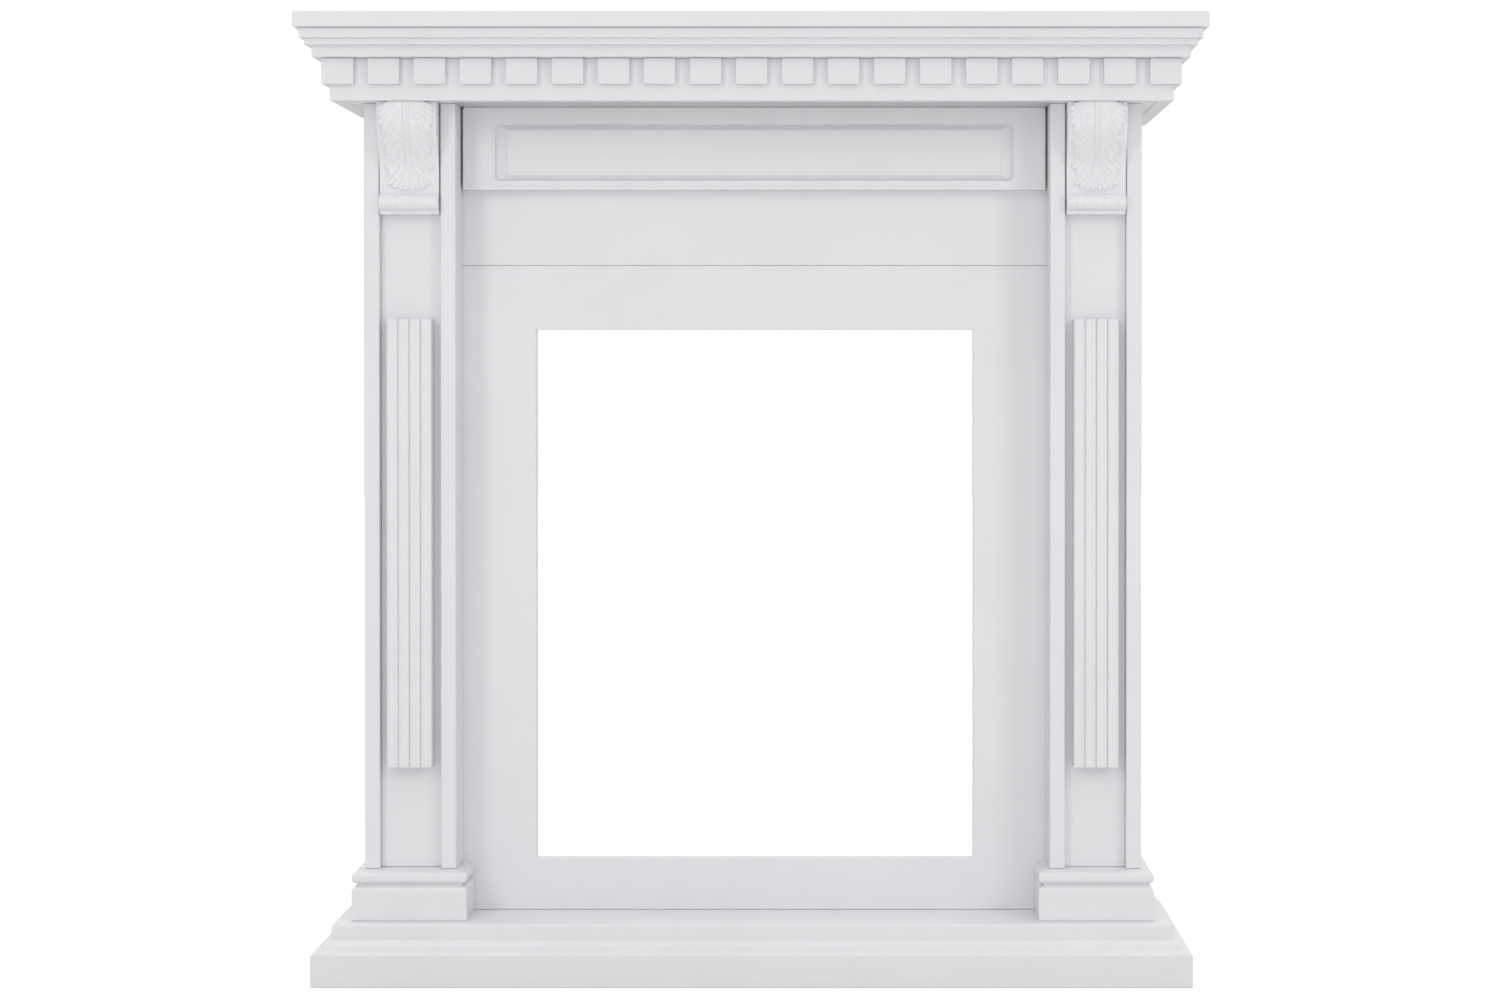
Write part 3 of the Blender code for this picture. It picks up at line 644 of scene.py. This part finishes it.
def frieze():
    """The panel as rings from its back edge over its arris to the groove and up onto the raised field.
    Across the groove, from the border inwards, the depth follows a steep wall, a floor that rises all the
    way, and the small bevel of the field."""
    low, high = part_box("frieze_panel")
    field_middle = low.z + FIELD_ABOVE_EDGE + FIELD_HEIGHT / 2
    half, tall, middle = high.x, (high.z - low.z) / 2, (low.z + high.z) / 2
    rings = [rounded_ring(half, tall, middle, FRIEZE_CORNER, high.y)]
    rise, inset = easing(FRIEZE_ARRIS)
    rings += [rounded_ring(half - i, tall - i, middle, FRIEZE_CORNER, low.y + FRIEZE_ARRIS - r)
              for r, i in zip(rise, inset[::-1])]
    turn = np.linspace(0, math.pi / 2, GROOVE_STEPS + 1)
    shares = np.concatenate([1.0 - GROOVE_WALL * (1 - np.cos(turn)), [GROOVE_BEVEL, 0.0]])
    depths = np.concatenate([np.sin(turn), [BEVEL_DEPTH, 0.0]])
    for share, depth in zip(shares, depths):
        half_width = FIELD_WIDTH / 2 + share * GROOVE_ENDS
        half_height = FIELD_HEIGHT / 2 + share * GROOVE_ACROSS
        corner = FIELD_CORNER + (GROOVE_CORNER - FIELD_CORNER) * share
        rings.append(rounded_ring(half_width, half_height, field_middle, corner,
                                  low.y + depth * GROOVE_DEPTH))
    piece = loft("raised_frieze_panel", np.array(rings), SHARP_ON_PANEL)
    placed(piece, BOARD_PAINT, "painted_board", "frieze_panel")


# Cornice

FASCIA_OUT = 0.032
FASCIA_THICKNESS = 0.017
FILLET_OUTS = (0.049, 0.056, 0.061)
FILLET_HEIGHTS = (0.0125, 0.0072, 0.0113)
FILLET_EDGE = 0.0008
DENTIL_ROUNDING = 0.0010


def cornice():
    """The fascia and the stepped fillets, each mitred round the corners in one coat of paint."""
    inner = FASCIA_OUT - FASCIA_THICKNESS
    bottom, top = (corner.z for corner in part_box("cornice_fascia_front"))
    fascia = eased([(inner, bottom), (FASCIA_OUT, bottom), (FASCIA_OUT, top), (inner, top)],
                   (SEATED_EDGE, ARRIS, SEATED_EDGE, SEATED_EDGE))
    placed(mitred_run("fascia", fascia), BOARD_PAINT, "painted_board",
           "cornice_fascia_front", "cornice_fascia_left", "cornice_fascia_right")
    bottom, top = (corner.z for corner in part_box("cornice_moulding_front"))
    corners, softness = [(inner, bottom)], [SEATED_EDGE]
    z = bottom
    for out, height in zip(FILLET_OUTS, FILLET_HEIGHTS):
        upper = min(z + height, top)
        corners += [(out, z), (out, upper)]
        softness += [FILLET_EDGE, FILLET_EDGE]
        z += height
    corners.append((inner, top))
    softness.append(SEATED_EDGE)
    placed(mitred_run("cornice_fillets", eased(corners, softness)), MOULDING_PAINT, "painted_moulding",
           "cornice_moulding_front", "cornice_moulding_left", "cornice_moulding_right")


def corner_dentil(low, high):
    """The block that turns a front corner: its plan, the rounding of each corner and where it is held."""
    sign = 1 if high.x > 0 else -1
    far, near = (high.x, low.x) if sign > 0 else (low.x, high.x)
    thick = FRONT - FASCIA_OUT - GAP - low.y
    seat = far - sign * thick
    corners = [(near, low.y), (far, low.y), (far, high.y), (seat, high.y), (seat, low.y + thick),
               (near, low.y + thick)]
    plan = (DENTIL_ROUNDING,) * 3 + (HIDDEN_EDGE,) * 3
    return corners, plan, ((0, 0), (0, 0), (0, 0), (1, 0), (1, 1), (0, 1))


def straight_dentil(low, high):
    """The same of a block in a row, which is seated on the fascia with its back or its inner side."""
    corners = box_corners(low, high)
    soft, seated = DENTIL_ROUNDING, HIDDEN_EDGE
    if high.x - low.x > high.y - low.y:
        return corners, (soft, soft, seated, seated), HELD_AT_BACK
    if low.x > 0:
        return corners, (seated, soft, soft, seated), HELD_AT_LEFT
    return corners, (soft, seated, seated, soft), HELD_AT_RIGHT


def dentils():
    """Every dentil as a block with soft outer arrises, square where it is glued to the fascia."""
    for node in [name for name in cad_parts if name.startswith("dentil_")]:
        low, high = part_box(node)
        block = corner_dentil if "corner" in node else straight_dentil
        corners, plan, held = block(low, high)
        piece = prism(node.replace("dentil", "dentil_block"), corners, low.z, high.z,
                      plan=plan, lower=DENTIL_ROUNDING, upper=DENTIL_ROUNDING, held=held)
        placed(piece, MOULDING_PAINT, "painted_moulding", node)


def shelf():
    """The mantel shelf, softest along its upper edge."""
    low, high = SHELF_LOW, SHELF_HIGH
    piece = prism("mantel_shelf", box_corners(low, high), low.z, high.z,
                  plan=(SOFT_ARRIS, SOFT_ARRIS, CUT_EDGE, CUT_EDGE), lower=ARRIS, upper=SOFT_ARRIS,
                  held=HELD_AT_BACK)
    placed(piece, BOARD_PAINT, "painted_board", "shelf_board")


def kept_boards():
    """The facing and the soffit keep the model's solids and get the boards' paint, the soffit's with
    painted shade between the pilasters.
    """
    for node, paint in (("facing_panel_lower", BOARD_PAINT), ("facing_panel_upper", BOARD_PAINT),
                        ("soffit_board", soffit_paint_with_painted_shade())):
        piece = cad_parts[node]
        piece.data.materials.clear()
        piece.data.materials.append(paint)


# Studio

WHITE = (1.0, 1.0, 1.0, 1.0)
CAMERA_PLACE = (0.10978, -3.38841, 0.66418)
# Degrees below level
CAMERA_TILT = 0.5232
CAMERA_LENS = 70.688
CAMERA_SENSOR = 36.0
CAMERA_SHIFT = (-0.06764, -0.06)
CAMERA_SEES = 60
# Each soft box, the last a low fill from the front: name, place, width and height, power in watts
SOFT_BOXES = (
    ("left_soft_box", (-1.52, -2.75, 1.80), (0.6, 1.6), 15.2),
    ("right_soft_box", (2.12, -2.35, 1.80), (0.8, 1.6), 14.8),
    ("front_fill", (0.10, -4.60, 0.45), (2.4, 1.0), 21.5),
)
AIM = Vector((0.0, -0.1, 0.55))
# The sky's strength at the front horizon, behind the object from this slope on, overhead, and as seen
SKY_AT_HORIZON = 0.05
BACKDROP_GLOW = 0.9
BACKDROP_SLOPE = 0.6
SKY_OVERHEAD = 1.22
BACKDROP_SEEN = 1.0
FLOOR_HALF = 14.0
FLOOR_DROP = 0.0004
# The floor's white as it lights the object, and its white and glow as the camera sees it
FLOOR_BOUNCE = 0.71
FLOOR_SEEN = 0.96
FLOOR_GLOW = 0.34


def camera():
    """The photo's camera, with a slight tilt and shift."""
    eye = bpy.data.objects.new("camera", bpy.data.cameras.new("camera"))
    bpy.context.scene.collection.objects.link(eye)
    eye.location = CAMERA_PLACE
    eye.rotation_euler = Euler((math.radians(90 - CAMERA_TILT), 0, 0))
    eye.data.lens = CAMERA_LENS
    eye.data.sensor_width = CAMERA_SENSOR
    eye.data.shift_x, eye.data.shift_y = CAMERA_SHIFT
    eye.data.clip_end = CAMERA_SEES
    bpy.context.scene.camera = eye


def soft_boxes():
    for name, place, size, power in SOFT_BOXES:
        lamp = bpy.data.objects.new(name, bpy.data.lights.new(name, "AREA"))
        lamp.data.shape = "RECTANGLE"
        lamp.data.size, lamp.data.size_y = size
        lamp.data.energy = power
        lamp.location = place
        lamp.rotation_euler = (AIM - Vector(place)).to_track_quat("-Z", "Y").to_euler()
        bpy.context.scene.collection.objects.link(lamp)


def sky():
    """A white sky that is dim in front, bright behind the object and brightest overhead. The camera sees it
    evenly white."""
    world = bpy.data.worlds.new("white_studio")
    world.use_nodes = True
    tree = world.node_tree
    background = tree.nodes["Background"]
    background.inputs["Color"].default_value = WHITE
    direction = wired(tree, "ShaderNodeTexCoord").outputs["Generated"]
    axes = wired(tree, "ShaderNodeSeparateXYZ", Vector=direction).outputs
    horizon = ranged(tree, axes["Y"], SKY_AT_HORIZON, BACKDROP_GLOW, 0.0, BACKDROP_SLOPE)
    glow = wired(tree, "ShaderNodeMix", Factor=axes["Z"], A=horizon, B=SKY_OVERHEAD).outputs["Result"]
    seen = wired(tree, "ShaderNodeLightPath").outputs["Is Camera Ray"]
    strength = wired(tree, "ShaderNodeMix", Factor=seen, A=glow, B=BACKDROP_SEEN)
    tree.links.new(strength.outputs["Result"], background.inputs["Strength"])
    bpy.context.scene.world = world
    bpy.context.scene.view_settings.view_transform = "Standard"


def floor():
    """A pale floor just under the object, which the camera sees whiter than it lights."""
    half, z = FLOOR_HALF, -FLOOR_DROP
    mesh = bpy.data.meshes.new("studio_floor")
    mesh.from_pydata([(-half, -half, z), (half, -half, z), (half, half, z), (-half, half, z)], [],
                     [(0, 1, 2, 3)])
    ground = bpy.data.objects.new("studio_floor", mesh)
    bpy.context.scene.collection.objects.link(ground)
    material = bpy.data.materials.new("pale_floor")
    material.use_nodes = True
    tree = material.node_tree
    shader = tree.nodes["Principled BSDF"]
    seen = wired(tree, "ShaderNodeLightPath").outputs["Is Camera Ray"]
    white = ranged(tree, seen, FLOOR_BOUNCE, FLOOR_SEEN, 0.0, 1.0)
    tree.links.new(white, shader.inputs["Base Color"])
    glow = ranged(tree, seen, 0.0, FLOOR_GLOW, 0.0, 1.0)
    tree.links.new(glow, shader.inputs["Emission Strength"])
    shader.inputs["Emission Color"].default_value = WHITE
    shader.inputs["Roughness"].default_value = 0.8
    mesh.materials.append(material)


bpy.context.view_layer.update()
skirting()
base_board()
plinths()
pilasters()
reeded_strips()
corbels()
frieze()
cornice()
dentils()
shelf()
kept_boards()
camera()
soft_boxes()
sky()
floor()

bpy.context.view_layer.update()
